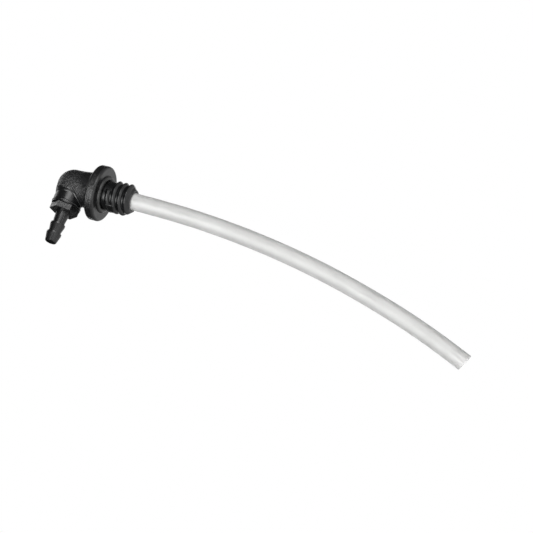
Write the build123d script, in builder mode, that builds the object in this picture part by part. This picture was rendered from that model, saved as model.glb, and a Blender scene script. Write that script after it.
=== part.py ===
from build123d import *
import math
import os

# Tank elbow with a hose barb and a dip tube. The threaded spigot goes down through a hole in
# the tank, the flange stops on the tank's wall, the dip tube hangs inside, and the barb takes
# the hose outside. Millimetres. The origin is the centre of the flange's sealing face,
# +Z points out of the tank, and the barb points along -X.

# ---- driving dimensions ------------------------------------------------------------------

OUTLET_Z = 18.9  # height of the barb's axis above the sealing face

# flange and the upright arm with its domed top
FLANGE_R = 15.4
FLANGE_T = 4.3
FLANGE_EDGE = 1.3  # rounding of both rim edges
DOME_R = 9.4  # the dome is a half ball about the crossing of the two axes
ARM_FOOT_R = 11.5
ARM_FLARE = 0.9  # fillet where the arm stands on the flange

# outlet boss, along -X from the crossing of the axes
BOSS_R = 8.15
BOSS_END = 12.3
BOSS_BLEND = 0.6  # fillet where the boss leaves the dome and the arm

# threaded spigot below the flange
SPIGOT_R = 7.75  # root of the coarse thread
SPIGOT_L = 17.6
NOSE_R = 6.2
NOSE_L = 2.0
TUBE_STOP_Z = -5.0  # shoulder inside the spigot that the tube is pushed up to
MOUTH_CHAMFER = 0.5

# waterway
WATERWAY_R = 3.1
RUNNING_GAP = 0.05  # clearance of the tube in its socket and of the stem in its bore

# dip tube
TUBE_OD = 9.5
TUBE_ID = 6.35
SOCKET_R = TUBE_OD / 2 + RUNNING_GAP

# hose barb insert, measured along -X from the crossing of the axes
STEM_R = 5.0
STEM_END = 4.6
COLLAR_L = 0.6  # round shoulder that seats on the boss
HEX_END = 16.6
HEX_FLATS = 14.0  # across flats
HEX_TURN = 15.0  # degrees, how far the tightened hexagon stands from square
HEX_EDGE = 0.35  # chamfer of the hexagon's outer corners
BARB_BORE_R = 2.2
SHANK_R = 3.95
WAIST_R = 3.25
BARB_R = 4.2
BARB_LAND = 0.8  # short cylindrical land behind each barb's slope
FIRST_BARB = 23.8
SECOND_BARB = 29.4
TIP_END = 34.9
TIP_R = 3.25
TIP_EDGE = 0.3

# rubber rings: section radius, and the seats that hold them
TANK_RING_SECTION = 1.25
TANK_RING_R = 9.15
TANK_SEAT_R = 10.5
TANK_SEAT_DEPTH = 1.0
PORT_RING_SECTION = 0.7
PORT_RING_R = STEM_R + 0.72
PORT_SEAT_R = 6.5
PORT_SEAT_DEPTH = 1.3
SOCKET_RING_SECTION = 0.85
SOCKET_RING_R = SOCKET_R + SOCKET_RING_SECTION
SOCKET_GROOVE_R = 6.55
SOCKET_GROOVE_TOP = -13.05
SOCKET_GROOVE_BOTTOM = -14.95
SQUEEZE = 0.1  # how far each ring is flattened where it bears on its seat

# route of the dip tube in the plane y = 0, as (x, z), from the stop to its open end
TUBE_ROUTE = [
    (0.0, -5.0),
    (0.0, -39.6),
    (-3.1, -79.0),
    (-8.9, -117.0),
    (-17.5, -154.0),
    (-31.2, -198.0),
    (-42.2, -223.3),
]
ARC_SHARE = 0.45  # share of the shorter run that each arc takes

CROSSING = Vector(0, 0, OUTLET_Z)
BARB_AXIS = Axis(CROSSING, Vector(-1, 0, 0))


def outlet_plane(distance, turn=0.0):
    """The plane across the barb's axis, `distance` from the crossing, turned about the axis."""
    upright = Vector(0, 0, 1).rotate(Axis.X, turn)
    return Plane(CROSSING - Vector(distance, 0, 0), x_dir=upright, z_dir=(-1, 0, 0))


os.makedirs("parts", exist_ok=True)

# ---- elbow body: domed arm, flange, spigot and outlet boss in one moulding ----------------

with BuildPart() as elbow_body:
    # upright arm with the dome on top
    with BuildSketch(Plane.XZ):
        with BuildLine():
            Line((0, 0), (ARM_FOOT_R, 0))
            Line((ARM_FOOT_R, 0), (ARM_FOOT_R, FLANGE_T))
            TangentArc((DOME_R, OUTLET_Z), (ARM_FOOT_R, FLANGE_T), tangent=(0, -1))
            RadiusArc((DOME_R, OUTLET_Z), (0, OUTLET_Z + DOME_R), -DOME_R)
            Line((0, OUTLET_Z + DOME_R), (0, 0))
        make_face()
    revolve(axis=Axis.Z)

    # outlet boss
    with BuildSketch(outlet_plane(0)):
        Circle(BOSS_R)
    extrude(amount=BOSS_END)
    meeting = elbow_body.edges().filter_by(GeomType.BSPLINE)
    fillet(meeting, BOSS_BLEND)

    # flange
    with BuildSketch(Plane.XY):
        Circle(FLANGE_R)
    extrude(amount=FLANGE_T)
    rim = elbow_body.edges().filter_by(GeomType.CIRCLE).filter_by(
        lambda edge: abs(edge.radius - FLANGE_R) < 0.01
    )
    fillet(rim, FLANGE_EDGE)
    foot = elbow_body.edges().filter_by(GeomType.CIRCLE).filter_by(
        lambda edge: abs(edge.radius - ARM_FOOT_R) < 0.01 and abs(edge.center().Z - FLANGE_T) < 0.01
    )
    fillet(foot, ARM_FLARE)

    # spigot with its tapered nose
    with BuildSketch(Plane.XZ):
        with BuildLine():
            Polyline(
                (0, 0),
                (SPIGOT_R, 0),
                (SPIGOT_R, NOSE_L - SPIGOT_L),
                (NOSE_R, -SPIGOT_L),
                (0, -SPIGOT_L),
                close=True,
            )
        make_face()
    revolve(axis=Axis.Z)

    # seat of the tank ring, sunk into the sealing face round the spigot
    with BuildSketch(Plane.XY):
        Circle(TANK_SEAT_R)
        Circle(SPIGOT_R, mode=Mode.SUBTRACT)
    extrude(amount=TANK_SEAT_DEPTH, mode=Mode.SUBTRACT)

    # socket for the tube, with its stop, ring groove and mouth
    with BuildSketch(Plane.XZ):
        with BuildLine():
            Polyline(
                (0, OUTLET_Z),
                (WATERWAY_R, OUTLET_Z),
                (WATERWAY_R, TUBE_STOP_Z),
                (SOCKET_R, TUBE_STOP_Z),
                (SOCKET_R, SOCKET_GROOVE_TOP),
                (SOCKET_GROOVE_R, SOCKET_GROOVE_TOP),
                (SOCKET_GROOVE_R, SOCKET_GROOVE_BOTTOM),
                (SOCKET_R, SOCKET_GROOVE_BOTTOM),
                (SOCKET_R, MOUTH_CHAMFER - SPIGOT_L),
                (SOCKET_R + MOUTH_CHAMFER, -SPIGOT_L),
                (0, -SPIGOT_L),
                close=True,
            )
        make_face()
    revolve(axis=Axis.Z, mode=Mode.SUBTRACT)

    # outlet bore, the port that the stem screws into, and the seat of the port ring
    with BuildSketch(outlet_plane(0)):
        Circle(WATERWAY_R)
    extrude(amount=BOSS_END, mode=Mode.SUBTRACT)
    with Locations(CROSSING):
        Sphere(WATERWAY_R, mode=Mode.SUBTRACT)
    with BuildSketch(outlet_plane(STEM_END - RUNNING_GAP)):
        Circle(STEM_R + RUNNING_GAP)
    extrude(amount=BOSS_END, mode=Mode.SUBTRACT)
    with BuildSketch(outlet_plane(BOSS_END - PORT_SEAT_DEPTH)):
        Circle(PORT_SEAT_R)
    extrude(amount=BOSS_END, mode=Mode.SUBTRACT)

# ---- hose barb: screwed stem, collar, hexagon and two barbs -------------------------------

with BuildPart() as hose_barb:
    # the body of revolution, drawn above the barb's axis with x along -X
    with BuildSketch(Plane(CROSSING, x_dir=(-1, 0, 0), z_dir=(0, 1, 0))):
        with BuildLine():
            Polyline(
                (STEM_END, BARB_BORE_R),
                (STEM_END, STEM_R),
                (BOSS_END, STEM_R),
                (BOSS_END, BOSS_R),
                (BOSS_END + COLLAR_L, BOSS_R),
                (BOSS_END + COLLAR_L, SHANK_R),
                (HEX_END, SHANK_R),
                (FIRST_BARB, WAIST_R),
                (FIRST_BARB, BARB_R),
                (FIRST_BARB + BARB_LAND, BARB_R),
                (SECOND_BARB, WAIST_R),
                (SECOND_BARB, BARB_R),
                (SECOND_BARB + BARB_LAND, BARB_R),
                (TIP_END - TIP_EDGE, TIP_R),
                (TIP_END, TIP_R - TIP_EDGE),
                (TIP_END, BARB_BORE_R),
                close=True,
            )
        make_face()
    revolve(axis=BARB_AXIS)
    # the hexagon, its outer corners bevelled by the cone that trims it
    with BuildSketch(outlet_plane(BOSS_END + COLLAR_L, HEX_TURN)):
        RegularPolygon(HEX_FLATS / 2, 6, major_radius=False)
        Circle(BARB_BORE_R, mode=Mode.SUBTRACT)
    extrude(amount=HEX_END - BOSS_END - COLLAR_L)
    hex_face = hose_barb.faces().filter_by(Axis.X).filter_by_position(
        Axis.X, -HEX_END - 0.01, -HEX_END + 0.01
    )
    chamfer(hex_face.edges().filter_by(GeomType.LINE), HEX_EDGE)

# ---- rubber rings: each is a round section flattened where it bears on its seat -----------

with BuildPart() as tank_ring:
    with BuildSketch(Plane.XZ):
        with Locations((TANK_RING_R, TANK_SEAT_DEPTH - TANK_RING_SECTION + SQUEEZE)):
            Circle(TANK_RING_SECTION)
        with Locations((TANK_RING_R, TANK_SEAT_DEPTH)):
            Rectangle(4, 1, align=(Align.CENTER, Align.MIN), mode=Mode.SUBTRACT)
    revolve(axis=Axis.Z)

with BuildPart() as port_ring:
    with BuildSketch(Plane(CROSSING, x_dir=(-1, 0, 0), z_dir=(0, 1, 0))):
        with Locations((BOSS_END - PORT_SEAT_DEPTH / 2, PORT_RING_R)):
            Circle(PORT_RING_SECTION)
            Rectangle(PORT_SEAT_DEPTH, 4, mode=Mode.INTERSECT)
    revolve(axis=BARB_AXIS)

with BuildPart() as socket_ring:
    with BuildSketch(Plane.XZ):
        with Locations((SOCKET_RING_R, SOCKET_GROOVE_BOTTOM + SOCKET_RING_SECTION - SQUEEZE)):
            Circle(SOCKET_RING_SECTION)
        with Locations((SOCKET_RING_R, SOCKET_GROOVE_BOTTOM)):
            Rectangle(4, 1, align=(Align.CENTER, Align.MAX), mode=Mode.SUBTRACT)
    revolve(axis=Axis.Z)

# ---- dip tube: straight runs joined by the largest arcs that fit --------------------------

route = [Vector(x, 0, z) for x, z in TUBE_ROUTE]
arc_radii = []
for before, here, after in zip(route, route[1:], route[2:]):
    turn = (here - before).get_angle(after - here)
    shorter_run = min((here - before).length, (after - here).length)
    arc_radii.append(ARC_SHARE * shorter_run / math.tan(math.radians(turn) / 2))

with BuildPart() as dip_tube:
    with BuildLine() as tube_path:
        FilletPolyline(*route, radius=arc_radii)
    with BuildSketch(Plane(route[0], x_dir=(0, 1, 0), z_dir=route[1] - route[0])):
        Circle(TUBE_OD / 2)
        Circle(TUBE_ID / 2, mode=Mode.SUBTRACT)
    sweep(path=tube_path.wires()[0])

tube_length = tube_path.wires()[0].length
tube_section = math.pi * (TUBE_OD**2 - TUBE_ID**2) / 4
print("tube arc radii", [round(radius) for radius in arc_radii])
print("tube length", round(tube_length, 1))
print("tube volume over section times length", round(dip_tube.part.volume / (tube_section * tube_length), 5))

# ---- write the pieces ---------------------------------------------------------------------

elbow_body.part.label = "elbow_body"
export_step(elbow_body.part, "parts/elbow_body.step")
hose_barb.part.label = "hose_barb"
export_step(hose_barb.part, "parts/hose_barb.step")
tank_ring.part.label = "tank_ring"
export_step(tank_ring.part, "parts/tank_ring.step")
port_ring.part.label = "port_ring"
export_step(port_ring.part, "parts/port_ring.step")
socket_ring.part.label = "socket_ring"
export_step(socket_ring.part, "parts/socket_ring.step")
dip_tube.part.label = "dip_tube"
export_step(dip_tube.part, "parts/dip_tube.step")
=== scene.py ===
import bpy
import bmesh
import math
from mathutils import Matrix, Vector


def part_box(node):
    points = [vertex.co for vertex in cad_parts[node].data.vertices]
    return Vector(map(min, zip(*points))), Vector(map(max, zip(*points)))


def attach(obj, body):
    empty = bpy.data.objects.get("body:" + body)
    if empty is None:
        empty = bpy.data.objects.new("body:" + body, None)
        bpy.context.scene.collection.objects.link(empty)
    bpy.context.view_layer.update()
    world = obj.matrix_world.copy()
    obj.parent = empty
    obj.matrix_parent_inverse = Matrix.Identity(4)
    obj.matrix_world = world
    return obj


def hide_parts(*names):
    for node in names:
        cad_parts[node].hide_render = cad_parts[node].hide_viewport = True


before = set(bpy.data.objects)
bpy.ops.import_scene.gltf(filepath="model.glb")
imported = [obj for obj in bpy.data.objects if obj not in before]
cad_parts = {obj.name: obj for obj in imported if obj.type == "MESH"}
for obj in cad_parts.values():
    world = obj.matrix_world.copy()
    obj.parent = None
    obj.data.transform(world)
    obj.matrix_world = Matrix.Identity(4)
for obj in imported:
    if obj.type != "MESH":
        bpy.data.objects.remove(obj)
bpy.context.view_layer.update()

MM = 0.001

# ---- sizes, read from the frame ------------------------------------------------------------

elbow_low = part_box("elbow_body")[0]
barb_low, barb_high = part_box("hose_barb")
tube_low, tube_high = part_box("dip_tube")

SPIGOT_END_Z = elbow_low.z
OUTLET_Z = (barb_low.z + barb_high.z) / 2  # height of the barb's axis
TUBE_R = (tube_high.y - tube_low.y) / 2

# radii that a box can't give, as they are in the solids
SPIGOT_R = 7.75 * MM
BOSS_R = 8.15 * MM
SHANK_R = 3.95 * MM
TUBE_BORE_R = 3.175 * MM

# route of the dip tube, from its stop in the socket to its open end
TUBE_ROUTE = [
    (0.0, 0.0, -0.0050),
    (0.0, 0.0, -0.0396),
    (-0.0031, 0.0, -0.0790),
    (-0.0089, 0.0, -0.1170),
    (-0.0175, 0.0, -0.1540),
    (-0.0312, 0.0, -0.1980),
    (-0.0422, 0.0, -0.2233),
]

# edges sharper than these angles, in degrees, stay sharp in the shading
FITTING_SHARP_EDGE = 50
TUBE_SHARP_EDGE = 30


# ---- mesh helpers --------------------------------------------------------------------------

def new_piece(name, verts, faces, body, material):
    """A mesh piece that rides on a body and takes its finish from a slot."""
    mesh = bpy.data.meshes.new(name)
    mesh.from_pydata([tuple(v) for v in verts], [], faces)
    mesh.validate()
    mesh.shade_smooth()
    mesh.materials.append(material)
    piece = bpy.data.objects.new(name, mesh)
    bpy.context.scene.collection.objects.link(piece)
    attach(piece, body)
    return piece


def sharpen(piece, degrees):
    """Marks edges sharper than the angle, so that only the round parts shade smooth."""
    bm = bmesh.new()
    bm.from_mesh(piece.data)
    for edge in bm.edges:
        if len(edge.link_faces) == 2 and edge.calc_face_angle(0) > math.radians(degrees):
            edge.smooth = False
    bm.to_mesh(piece.data)
    bm.free()


def loft(rings, caps=True):
    """Vertices and faces of a skin over closed rings that have the same number of points."""
    count = len(rings[0])
    verts = [p for ring in rings for p in ring]
    faces = []
    for i in range(len(rings) - 1):
        for j in range(count):
            k = (j + 1) % count
            faces.append((i * count + j, i * count + k, (i + 1) * count + k, (i + 1) * count + j))
    if caps:
        faces.append(tuple(range(count - 1, -1, -1)))
        faces.append(tuple((len(rings) - 1) * count + j for j in range(count)))
    return verts, faces


def add_to_fitting(name, rings, material):
    """A closed skin over rings, as a piece of the fitting."""
    verts, faces = loft(rings)
    piece = new_piece(name, verts, faces, "fitting", material)
    sharpen(piece, FITTING_SHARP_EDGE)


def circle_angles(count):
    """Evenly spaced angles for one full turn."""
    return [2 * math.pi * j / count for j in range(count)]


def nurbs_line(points, resolution):
    """Points along the smooth line that a tube follows."""
    curve = bpy.data.curves.new("route", "CURVE")
    curve.dimensions = "3D"
    curve.resolution_u = resolution
    spline = curve.splines.new("NURBS")
    spline.points.add(len(points) - 1)
    for point, place in zip(spline.points, points):
        point.co = (*place, 1.0)
    spline.order_u = 3
    spline.use_endpoint_u = True
    holder = bpy.data.objects.new("route", curve)
    mesh = bpy.data.meshes.new_from_object(holder)
    line = [v.co.copy() for v in mesh.vertices]
    bpy.data.meshes.remove(mesh)
    bpy.data.objects.remove(holder)
    bpy.data.curves.remove(curve)
    return line


# ---- node helpers --------------------------------------------------------------------------

def new_material(name):
    """A Principled material, with its tree, its shader and the object's own coordinates."""
    material = bpy.data.materials.new(name)
    material.use_nodes = True
    tree = material.node_tree
    shader = tree.nodes["Principled BSDF"]
    place = tree.nodes.new("ShaderNodeTexCoord").outputs["Object"]
    return material, tree, shader, place


def noise(tree, place, scale, detail, rough):
    node = tree.nodes.new("ShaderNodeTexNoise")
    node.inputs["Scale"].default_value = scale
    node.inputs["Detail"].default_value = detail
    node.inputs["Roughness"].default_value = rough
    tree.links.new(place, node.inputs["Vector"])
    return node.outputs["Fac"]


def remap(tree, value, from_range, to_range=(0.0, 1.0)):
    """Maps one range to another. Values outside from_range stay at its ends."""
    node = tree.nodes.new("ShaderNodeMapRange")
    node.inputs["From Min"].default_value = from_range[0]
    node.inputs["From Max"].default_value = from_range[1]
    node.inputs["To Min"].default_value = to_range[0]
    node.inputs["To Max"].default_value = to_range[1]
    tree.links.new(value, node.inputs["Value"])
    return node.outputs["Result"]


def calc(tree, operation, first, second=None):
    node = tree.nodes.new("ShaderNodeMath")
    node.operation = operation
    for socket, value in zip(node.inputs, (first, second)):
        if isinstance(value, (int, float)):
            socket.default_value = value
        elif value is not None:
            tree.links.new(value, socket)
    return node.outputs["Value"]


def bump(tree, height, distance, strength, under=None):
    node = tree.nodes.new("ShaderNodeBump")
    node.inputs["Strength"].default_value = strength
    node.inputs["Distance"].default_value = distance
    tree.links.new(height, node.inputs["Height"])
    if under is not None:
        tree.links.new(under, node.inputs["Normal"])
    return node.outputs["Normal"]


def colour_mix(tree, factor, first, second):
    node = tree.nodes.new("ShaderNodeMix")
    node.data_type = "RGBA"
    tree.links.new(factor, node.inputs["Factor"])
    node.inputs["A"].default_value = (*first, 1.0)
    node.inputs["B"].default_value = (*second, 1.0)
    return node.outputs["Result"]


def split_xyz(tree, place):
    node = tree.nodes.new("ShaderNodeSeparateXYZ")
    tree.links.new(place, node.inputs["Vector"])
    return node.outputs["X"], node.outputs["Y"], node.outputs["Z"]


# ---- where the black plastic is textured ---------------------------------------------------

# each fade is (where there is no texture, where it is full)
ABOVE_SEAL_FADE = (0.9 * MM, 1.4 * MM)  # z
LIP_FADE = (-5.2 * MM, -4.4 * MM)  # x
BOSS_FADE = (BOSS_R + 0.75 * MM, BOSS_R + 0.95 * MM)  # distance from the barb's axis
ARM_TO_DOME = (11.0 * MM, 16.0 * MM)  # z, over which the depth changes
ARM_TO_DOME_DEPTH = (0.42, 0.9)
SHANK_TO_HEX_FADE = (-16.5 * MM, -16.3 * MM)  # x
COLLAR_TO_HEX_FADE = (-12.8 * MM, -13.0 * MM)  # x
HEX_DEPTH = 0.3


def elbow_texture(tree, place):
    """Full on the dome, fainter on the arm and flange, none on the lip, boss and spigot."""
    x, y, z = split_xyz(tree, place)
    up = calc(tree, "SUBTRACT", z, OUTLET_Z)
    square = calc(tree, "ADD", calc(tree, "POWER", y, 2.0), calc(tree, "POWER", up, 2.0))
    off_axis = calc(tree, "SQRT", square)
    above = remap(tree, z, ABOVE_SEAL_FADE)
    before_lip = remap(tree, x, LIP_FADE)
    off_boss = remap(tree, off_axis, BOSS_FADE)
    spark = calc(tree, "MULTIPLY", above, calc(tree, "MAXIMUM", before_lip, off_boss))
    return calc(tree, "MULTIPLY", spark, remap(tree, z, ARM_TO_DOME, ARM_TO_DOME_DEPTH))


def barb_texture(tree, place):
    """Faint, and on the hexagon only."""
    x = split_xyz(tree, place)[0]
    on_hex = remap(tree, x, SHANK_TO_HEX_FADE)
    off_collar = remap(tree, x, COLLAR_TO_HEX_FADE)
    return calc(tree, "MULTIPLY", on_hex, calc(tree, "MULTIPLY", off_collar, HEX_DEPTH))


def no_texture(tree, place):
    x = split_xyz(tree, place)[0]
    return calc(tree, "MULTIPLY", x, 0.0)


# ---- materials: scales are in noise cells per metre, heights in metres ---------------------

PLASTIC_IOR = 1.5
MIDDLE_OF_NOISE = (0.3, 0.7)  # most values of a noise lie between these

# black plastic: spark grain with finer grain in it, over slow waves of the moulded skin
GRAIN_SCALE = 820.0  # about 1.2 mm from pit to pit
FINE_SCALE = 3.1 * GRAIN_SCALE
FINE_SHARE = 0.80
GRAIN_HEIGHT = 0.0005
WAVE_SCALE = 160.0
WAVE_HEIGHT = 0.00006
SPECKLED_GRAIN = (0.40, 0.68)  # grain values between which the colour turns paler
BLACK = (0.0025, 0.0026, 0.0028)
SPECKLE = (0.0110, 0.0110, 0.0115)
SMOOTH_ROUGHNESS = (0.26, 0.34)
MIDDLE_OF_GRAIN = (0.35, 0.65)
GRAIN_ROUGHNESS = (0.36, 0.24)  # low grain is rougher than high grain

# black rubber: very fine grain and a faint bloom
RUBBER_GRAIN_SCALE = 2600.0
RUBBER_GRAIN_HEIGHT = 0.00004
BLOOM_SCALE = 240.0
BLOOM_RANGE = (0.35, 0.7)
RUBBER = (0.008, 0.008, 0.008)
RUBBER_BLOOM = (0.016, 0.016, 0.0155)
RUBBER_ROUGHNESS = (0.36, 0.5)

# milky tube: streaks along its length and soft clouds
STREAK_SCALE = 900.0
STREAK_STRETCH = 0.06
STREAK_HEIGHT = 0.00005
CLOUD_SCALE = 120.0
MILK_DARK = (0.34, 0.34, 0.336)
MILK_PALE = (0.36, 0.36, 0.356)
TUBE_ROUGHNESS = (0.30, 0.40)
SCATTER_DEPTH = 0.004


def black_plastic(name, texture):
    """Black moulded plastic. texture(tree, place) gives the strength of the spark grain."""
    material, tree, shader, place = new_material(name)
    mask = texture(tree, place)
    grain = noise(tree, place, GRAIN_SCALE, detail=3.0, rough=0.65)
    fine = noise(tree, place, FINE_SCALE, detail=2.0, rough=0.6)
    wave = noise(tree, place, WAVE_SCALE, detail=2.0, rough=0.5)
    pits = calc(tree, "ADD", grain, calc(tree, "MULTIPLY", fine, FINE_SHARE))
    height = calc(tree, "MULTIPLY", pits, mask)
    waviness = bump(tree, wave, WAVE_HEIGHT, strength=0.35)
    surface = bump(tree, height, GRAIN_HEIGHT, strength=1.0, under=waviness)
    tree.links.new(surface, shader.inputs["Normal"])
    speckle = calc(tree, "MULTIPLY", remap(tree, grain, SPECKLED_GRAIN), mask)
    tree.links.new(colour_mix(tree, speckle, BLACK, SPECKLE), shader.inputs["Base Color"])
    smooth_rough = remap(tree, wave, MIDDLE_OF_NOISE, SMOOTH_ROUGHNESS)
    grain_rough = remap(tree, grain, MIDDLE_OF_GRAIN, GRAIN_ROUGHNESS)
    gap = calc(tree, "SUBTRACT", grain_rough, smooth_rough)
    rough = calc(tree, "ADD", smooth_rough, calc(tree, "MULTIPLY", gap, mask))
    tree.links.new(rough, shader.inputs["Roughness"])
    shader.inputs["IOR"].default_value = PLASTIC_IOR
    return material


def black_rubber():
    material, tree, shader, place = new_material("black_rubber")
    grain = noise(tree, place, RUBBER_GRAIN_SCALE, detail=2.0, rough=0.6)
    bloom = noise(tree, place, BLOOM_SCALE, detail=3.0, rough=0.6)
    surface = bump(tree, grain, RUBBER_GRAIN_HEIGHT, strength=0.5)
    tree.links.new(surface, shader.inputs["Normal"])
    colour = colour_mix(tree, remap(tree, bloom, BLOOM_RANGE), RUBBER, RUBBER_BLOOM)
    tree.links.new(colour, shader.inputs["Base Color"])
    rough = remap(tree, bloom, MIDDLE_OF_NOISE, RUBBER_ROUGHNESS)
    tree.links.new(rough, shader.inputs["Roughness"])
    return material


def milky_tube():
    """Semi-rigid natural polyethylene: milky, faintly streaked along its length."""
    material, tree, shader, place = new_material("milky_tube")
    stretch = tree.nodes.new("ShaderNodeMapping")
    stretch.inputs["Scale"].default_value = (1.0, 1.0, STREAK_STRETCH)
    tree.links.new(place, stretch.inputs["Vector"])
    stretched = stretch.outputs["Vector"]
    streak = noise(tree, stretched, STREAK_SCALE, detail=2.0, rough=0.5)
    cloud = noise(tree, place, CLOUD_SCALE, detail=3.0, rough=0.6)
    surface = bump(tree, streak, STREAK_HEIGHT, strength=0.35)
    tree.links.new(surface, shader.inputs["Normal"])
    colour = colour_mix(tree, remap(tree, cloud, MIDDLE_OF_NOISE), MILK_DARK, MILK_PALE)
    tree.links.new(colour, shader.inputs["Base Color"])
    rough = remap(tree, streak, MIDDLE_OF_NOISE, TUBE_ROUGHNESS)
    tree.links.new(rough, shader.inputs["Roughness"])
    shader.inputs["Subsurface Weight"].default_value = 1.0
    shader.inputs["Subsurface Radius"].default_value = (1.0, 1.0, 1.0)
    shader.inputs["Subsurface Scale"].default_value = SCATTER_DEPTH
    shader.inputs["IOR"].default_value = PLASTIC_IOR
    return material


def assign(node, material):
    """A CAD node keeps its shape and only gets a better material in its slots."""
    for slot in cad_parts[node].material_slots:
        slot.material = material


elbow_plastic = black_plastic("elbow_plastic", elbow_texture)
barb_plastic = black_plastic("barb_plastic", barb_texture)
smooth_plastic = black_plastic("smooth_plastic", no_texture)
rubber = black_rubber()
tube_plastic = milky_tube()

assign("elbow_body", elbow_plastic)
assign("hose_barb", barb_plastic)
for ring_node in ("tank_ring", "port_ring", "socket_ring"):
    assign(ring_node, rubber)


# ---- dip tube: a hollow tube with an open end ----------------------------------------------

TUBE_SIDES = 64
ROUTE_STEPS = 14
CUT_EDGE = 0.12 * MM  # the cut leaves both of its edges slightly broken
CUT_LEAN = 0.45  # the open end is snipped at a slant: its front (-Y) side reaches further
CUT_BACK = 0.8 * MM  # the middle of the slanted cut lies this far before the end
LEAN_SHARE = {1: 1.0, 2: 0.5}  # by ring, counted from the open end; the others don't lean


def tube_rings(line, radius, inset):
    """Rings of a tube about a line in the plane y = 0, with the slant of the cut.

    inset moves the rings at both ends inwards.
    """
    rings = []
    for i, centre in enumerate(line):
        along = (line[min(i + 1, len(line) - 1)] - line[max(i - 1, 0)]).normalized()
        side = Vector((0, 1, 0))
        across = side.cross(along)
        if i == 0:
            centre = centre + along * inset
        if i == len(line) - 1:
            centre = centre - along * inset
        ring = [
            centre + radius * (math.cos(a) * side + math.sin(a) * across)
            for a in circle_angles(TUBE_SIDES)
        ]
        lean = LEAN_SHARE.get(len(line) - i, 0.0)
        rings.append([p + along * lean * (-CUT_LEAN * p.y - CUT_BACK) for p in ring])
    return rings


def make_tube():
    line = nurbs_line(TUBE_ROUTE, ROUTE_STEPS)
    outer = tube_rings(line, TUBE_R, CUT_EDGE)
    inner = tube_rings(line, TUBE_BORE_R, CUT_EDGE)
    face_out = tube_rings(line, TUBE_R - CUT_EDGE, 0)
    face_in = tube_rings(line, TUBE_BORE_R + CUT_EDGE, 0)
    rings = [face_out[0], *outer, face_out[-1], face_in[-1], *reversed(inner), face_in[0]]
    verts, faces = loft(rings, caps=False)
    last = len(rings) - 1
    for j in range(TUBE_SIDES):
        k = (j + 1) % TUBE_SIDES
        faces.append((last * TUBE_SIDES + j, last * TUBE_SIDES + k, k, j))
    piece = new_piece("tube_hollow", verts, faces, "tube", tube_plastic)
    sharpen(piece, TUBE_SHARP_EDGE)
    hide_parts("dip_tube")


make_tube()

# ---- coarse thread on the spigot -----------------------------------------------------------

CREST_R = 9.0 * MM
CREST_PITCH = 3.58 * MM  # the crest line rises by this for each turn about +Z
CREST_Z_AT_X = -7.1 * MM  # height of the crest line where it crosses the +X side
THREAD_FROM_TURN = -2.6
THREAD_TO_TURN = 0.75
THREAD_STEPS = 72  # rings in each turn
THREAD_HEIGHT = CREST_R - SPIGOT_R

RIDGE_ROOT_HALF = 1.62 * MM  # neighbouring ridges leave only a narrow groove
RIDGE_SHOULDER_HALF = 0.64 * MM
RIDGE_CREST_HALF = 0.42 * MM
SHOULDER_HEIGHT = 0.74  # shares of the thread's height
CREST_EDGE_HEIGHT = 0.80
CREST_STEPS = 6
RIDGE_SINK = 0.25 * MM

RISE_TURNS = 0.30  # the ridge rises to its height over these turns from the spigot's end
BLUNT_SHARE = 0.45  # share of the height at which it stops short by the flange
BLUNT_TURNS = 0.03  # a full height would be lost in these turns before that stop

NOSE_LENGTH = 2.0 * MM
NOSE_NARROWING = 1.55 * MM  # from the spigot's radius to the radius of its end
LEAD_LENGTH = 1.5 * MM  # over this length the crests are turned down towards the end
THREAD_END_GAP = 0.05 * MM  # the thread stays this far inside the spigot's end


def spigot_radius(z):
    """Radius of the plain spigot, which narrows over its nose."""
    into_nose = (SPIGOT_END_Z + NOSE_LENGTH - z) / NOSE_LENGTH
    return SPIGOT_R - NOSE_NARROWING * min(1.0, max(0.0, into_nose))


def crest_limit(z):
    """Largest radius of a crest, which the lead at the end cuts down."""
    into_lead = (SPIGOT_END_Z + LEAD_LENGTH - z) / LEAD_LENGTH
    return CREST_R - (THREAD_HEIGHT + NOSE_NARROWING) * min(1.0, max(0.0, into_lead))


def ridge_outline(height):
    """A ridge with straight flanks and a rounded crest, as (distance from its middle, rise)."""
    outline = [(-RIDGE_ROOT_HALF, -RIDGE_SINK), (-RIDGE_ROOT_HALF, 0.0)]
    outline.append((-RIDGE_SHOULDER_HALF, SHOULDER_HEIGHT * height))
    for step in range(CREST_STEPS + 1):
        a = math.pi * (step / CREST_STEPS - 0.5)
        rise = (CREST_EDGE_HEIGHT + (1 - CREST_EDGE_HEIGHT) * math.cos(a)) * height
        outline.append((RIDGE_CREST_HALF * math.sin(a), rise))
    outline.append((RIDGE_SHOULDER_HALF, SHOULDER_HEIGHT * height))
    outline += [(RIDGE_ROOT_HALF, 0.0), (RIDGE_ROOT_HALF, -RIDGE_SINK)]
    return outline


def ridge_section(z, share):
    """One section of the ridge about height z, as (radius, height), fitted to the spigot."""
    section = []
    for along, rise in ridge_outline(share * THREAD_HEIGHT):
        height = max(z + along, SPIGOT_END_Z + THREAD_END_GAP)
        radius = min(spigot_radius(height) + rise, crest_limit(height))
        section.append((max(radius, spigot_radius(height) - RIDGE_SINK), height))
    return section


def make_thread():
    rings = []
    turns = THREAD_TO_TURN - THREAD_FROM_TURN
    steps = int(turns * THREAD_STEPS)
    for step in range(steps + 1):
        turn = THREAD_FROM_TURN + turns * step / steps
        angle = 2 * math.pi * turn
        rising = min(1.0, (turn - THREAD_FROM_TURN) / RISE_TURNS)
        stopping = min(1.0, BLUNT_SHARE + (THREAD_TO_TURN - turn) / BLUNT_TURNS)
        section = ridge_section(CREST_Z_AT_X + CREST_PITCH * turn, min(rising, stopping))
        rings.append([Vector((r * math.cos(angle), r * math.sin(angle), z)) for r, z in section])
    add_to_fitting("spigot_thread", rings, smooth_plastic)


make_thread()

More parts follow.
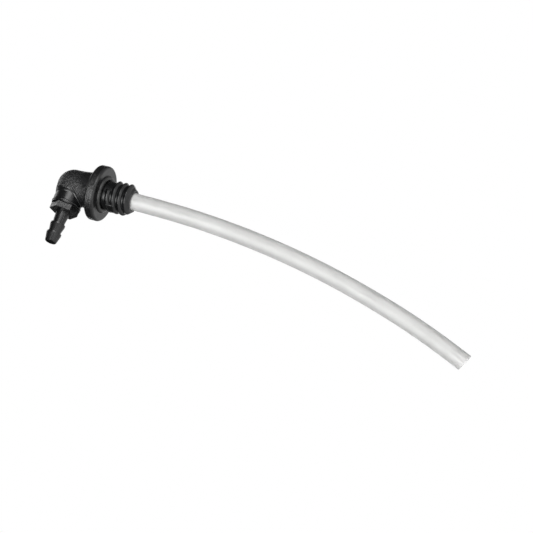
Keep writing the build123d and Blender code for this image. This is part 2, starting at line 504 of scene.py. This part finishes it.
# ---- smooth pad that nearly fills the thread's grooves on the barb's side ------------------

PAD_R = 8.85 * MM
PAD_ROOT_R = SPIGOT_R - RIDGE_SINK
PAD_HALF_ANGLE = math.radians(34)
PAD_TOP_Z = -3.9 * MM
PAD_BOTTOM_Z = -9.6 * MM
PAD_EDGE = 0.6 * MM
PAD_EDGE_STEPS = 4
PAD_HALF_STEPS = 24
PAD_END_SHARE = 0.12  # share of the half-angle over which each end rounds down


def pad_outline():
    """Section of the pad, with two rounded edges, as (radius, height)."""
    quarter = [math.pi / 2 * step / PAD_EDGE_STEPS for step in range(PAD_EDGE_STEPS + 1)]
    outline = [(PAD_ROOT_R, PAD_TOP_Z)]
    for a in quarter:
        radius = PAD_R - PAD_EDGE * (1 - math.sin(a))
        outline.append((radius, PAD_TOP_Z - PAD_EDGE * (1 - math.cos(a))))
    for a in quarter:
        radius = PAD_R - PAD_EDGE * (1 - math.cos(a))
        outline.append((radius, PAD_BOTTOM_Z + PAD_EDGE * (1 - math.sin(a))))
    outline.append((PAD_ROOT_R, PAD_BOTTOM_Z))
    return outline


def make_stop_pad():
    """A raised sector of the spigot with rounded ends, centred on the -X side."""
    rings = []
    for step in range(2 * PAD_HALF_STEPS + 1):
        share = step / PAD_HALF_STEPS - 1
        angle = math.pi + PAD_HALF_ANGLE * share
        from_end = min(1.0, (1 - abs(share)) / PAD_END_SHARE)
        lift = math.sqrt(1 - (1 - from_end) ** 2)
        ring = []
        for radius, z in pad_outline():
            lifted = PAD_ROOT_R + (radius - PAD_ROOT_R) * lift
            ring.append(Vector((math.cos(angle) * lifted, math.sin(angle) * lifted, z)))
        rings.append(ring)
    add_to_fitting("stop_pad", rings, smooth_plastic)


make_stop_pad()

# ---- turned details: back of the flange, skirt of the dome, end bead of the boss -----------

LATHE_SIDES = 96

# profiles list (distance along the axis, radius) in mm
# the flange's back and rounded rim stand behind the CAD's thinner disc
FLANGE_BACK_PROFILE = [
    (2.9, 15.38), (3.4, 15.40), (4.5, 15.40), (4.9, 15.34),
    (5.2, 15.16), (5.42, 14.88), (5.5, 14.5), (5.5, 10.2),
]
# the dome flares past its ball into a rounded lip around the boss
SKIRT_PROFILE = [
    (0.8, 9.30), (1.6, 9.27), (2.4, 9.20), (3.2, 9.10), (4.0, 8.97), (4.8, 8.80),
    (5.6, 8.61), (6.2, 8.46), (6.6, 8.34), (6.8, 8.25), (6.92, 8.12), (6.95, 7.95),
]
# a low rounded bead where the boss ends against the insert
END_BEAD_PROFILE = [
    (11.25, 8.05), (11.35, 8.22), (11.55, 8.34), (11.8, 8.38),
    (12.05, 8.34), (12.2, 8.22), (12.28, 8.05),
]


def about_spigot(along, first, second):
    """A point given along +Z and in two directions across it."""
    return Vector((first, second, along))


def about_barb(along, first, second):
    """A point given along -X from the crossing of the axes and in two directions across it."""
    return Vector((-along, first, OUTLET_Z + second))


def turned_piece(name, profile, axis, material):
    """A skin turned from a profile. axis is about_spigot or about_barb."""
    rings = []
    for along, radius in profile:
        rings.append([
            axis(along * MM, radius * MM * math.cos(a), radius * MM * math.sin(a))
            for a in circle_angles(LATHE_SIDES)
        ])
    add_to_fitting(name, rings, material)


turned_piece("flange_back", FLANGE_BACK_PROFILE, about_spigot, elbow_plastic)
turned_piece("dome_skirt", SKIRT_PROFILE, about_barb, elbow_plastic)
turned_piece("boss_end_bead", END_BEAD_PROFILE, about_barb, smooth_plastic)

# ---- parting-line beads on the barb insert -------------------------------------------------

BEAD_TURN = math.radians(45)  # from the front (-Y) towards the spigot (-Z)
BEAD_HALF = 0.34 * MM
BEAD_RISE = 0.24 * MM
BEAD_SINK = 0.2 * MM
BEAD_ARC_SINK = 0.02 * MM
BEAD_STEPS = 24
BEAD_ARC_STEPS = 8
SHANK_FROM_X = -16.4 * MM
SHANK_TO_X = -23.6 * MM


def make_bead(name, turn):
    """A low half-round bead along the shank, `turn` from the front about the barb's axis."""
    out = Vector((0, -math.cos(turn), -math.sin(turn)))
    side = Vector((0, math.sin(turn), -math.cos(turn)))
    rings = []
    for step in range(BEAD_STEPS + 1):
        x = SHANK_FROM_X + (SHANK_TO_X - SHANK_FROM_X) * step / BEAD_STEPS
        centre = Vector((x, 0, OUTLET_Z))
        ring = [centre + out * (SHANK_R - BEAD_SINK) + side * BEAD_HALF]
        for corner in range(BEAD_ARC_STEPS + 1):
            a = math.pi * corner / BEAD_ARC_STEPS
            lift = SHANK_R - BEAD_ARC_SINK + BEAD_RISE * math.sin(a)
            ring.append(centre + out * lift + side * BEAD_HALF * math.cos(a))
        ring.append(centre + out * (SHANK_R - BEAD_SINK) - side * BEAD_HALF)
        rings.append(ring)
    add_to_fitting(name, rings, smooth_plastic)


make_bead("barb_bead_front", BEAD_TURN)
make_bead("barb_bead_back", BEAD_TURN + math.pi)

# ---- camera at the photograph's angle ------------------------------------------------------

VIEW_BACK = Vector((-0.3468, -0.8808, -0.3216))  # from the object towards the camera
VIEW_UP = Vector((0.8721, -0.4293, 0.2347))
VIEW_DISTANCE = 1.2995
LENS = 159.6
SENSOR_WIDTH = 36.0
CLIP_START = 0.05
CLIP_END = 50.0
AIM_RIGHT = 0.1057  # from the crossing of the axes to the middle of the picture
AIM_UP = -0.0439


def make_camera():
    """Adds the camera and returns its directions right, up and back."""
    back = VIEW_BACK.normalized()
    right = VIEW_UP.cross(back).normalized()
    up = back.cross(right)
    aim = Vector((0, 0, OUTLET_Z)) + AIM_RIGHT * right + AIM_UP * up
    data = bpy.data.cameras.new("camera")
    data.lens = LENS
    data.sensor_width = SENSOR_WIDTH
    data.clip_start = CLIP_START
    data.clip_end = CLIP_END
    camera = bpy.data.objects.new("camera", data)
    bpy.context.scene.collection.objects.link(camera)
    turn = Matrix((right, up, back)).transposed().to_4x4()
    camera.matrix_world = Matrix.Translation(aim + back * VIEW_DISTANCE) @ turn
    bpy.context.scene.camera = camera
    return right, up, back


right, up, back = make_camera()

# ---- floor, backdrop and soft light --------------------------------------------------------

WHITE = (1.0, 1.0, 1.0, 1.0)
FLOOR_GREY = (0.86, 0.86, 0.86, 1.0)
FLOOR_ROUGHNESS = 0.8
FLOOR_Z = -0.75
FLOOR_HALF = 6.0
FLOOR_GLOW = 0.55  # added brightness of the floor in the picture
ROOM_LIGHT = 0.06  # what the shiny plastic reflects between the softboxes
FILL_LIGHT = 0.45  # added for what matt surfaces gather from the white surroundings

# name, direction it shines from (right, up, towards the camera), distance, size, power
SOFTBOXES = [
    ("high_front", (0.08, 0.66, 0.745), 1.3, (0.75, 0.60), 8.5),
    ("low_front", (-0.462, -0.174, 0.869), 1.3, (1.05, 0.95), 27.0),
    ("far_left", (-0.62, 0.37, -0.69), 1.3, (0.5, 0.5), 1.8),
    ("far_right", (0.587, -0.15, -0.795), 1.3, (0.8, 0.8), 0.5),
    ("behind", (0.0, 0.0, -1.0), 1.5, (1.2, 1.2), 6.5),
]


def make_floor():
    """A pale matt floor. Its glow is for the camera only, so it doesn't light the object."""
    bm = bmesh.new()
    bmesh.ops.create_grid(bm, x_segments=1, y_segments=1, size=FLOOR_HALF)
    mesh = bpy.data.meshes.new("floor")
    bm.to_mesh(mesh)
    bm.free()
    floor = bpy.data.objects.new("floor", mesh)
    floor.location.z = FLOOR_Z
    bpy.context.scene.collection.objects.link(floor)
    material, tree, shader, _ = new_material("pale_floor")
    shader.inputs["Base Color"].default_value = FLOOR_GREY
    shader.inputs["Roughness"].default_value = FLOOR_ROUGHNESS
    shader.inputs["Emission Color"].default_value = WHITE
    path = tree.nodes.new("ShaderNodeLightPath")
    glow = calc(tree, "MULTIPLY", path.outputs["Is Camera Ray"], FLOOR_GLOW)
    tree.links.new(glow, shader.inputs["Emission Strength"])
    mesh.materials.append(material)


def make_world():
    """The camera sees plain white; the object is lit by a dim room around the softboxes."""
    world = bpy.data.worlds.new("studio")
    world.use_nodes = True
    tree = world.node_tree
    seen = tree.nodes["Background"]
    seen.inputs["Color"].default_value = WHITE
    room = tree.nodes.new("ShaderNodeBackground")
    room.inputs["Color"].default_value = WHITE
    pick = tree.nodes.new("ShaderNodeMixShader")
    path = tree.nodes.new("ShaderNodeLightPath")
    fill = calc(tree, "MULTIPLY", path.outputs["Is Diffuse Ray"], FILL_LIGHT)
    tree.links.new(calc(tree, "ADD", fill, ROOM_LIGHT), room.inputs["Strength"])
    tree.links.new(path.outputs["Is Camera Ray"], pick.inputs["Fac"])
    tree.links.new(room.outputs["Background"], pick.inputs[1])
    tree.links.new(seen.outputs["Background"], pick.inputs[2])
    tree.links.new(pick.outputs["Shader"], tree.nodes["World Output"].inputs["Surface"])
    bpy.context.scene.world = world
    bpy.context.scene.view_settings.view_transform = "Standard"


def area_light(name, towards, distance, size, power):
    """A softbox that shines at the origin."""
    light = bpy.data.lights.new(name, "AREA")
    light.shape = "RECTANGLE"
    light.size, light.size_y = size
    light.energy = power
    lamp = bpy.data.objects.new(name, light)
    bpy.context.scene.collection.objects.link(lamp)
    outward = (towards[0] * right + towards[1] * up + towards[2] * back).normalized()
    lamp.location = outward * distance
    lamp.rotation_mode = "QUATERNION"
    level = up.cross(outward).normalized()
    turn = Matrix((level, outward.cross(level), outward)).transposed()
    lamp.rotation_quaternion = turn.to_quaternion()


make_floor()
make_world()
for softbox in SOFTBOXES:
    area_light(*softbox)
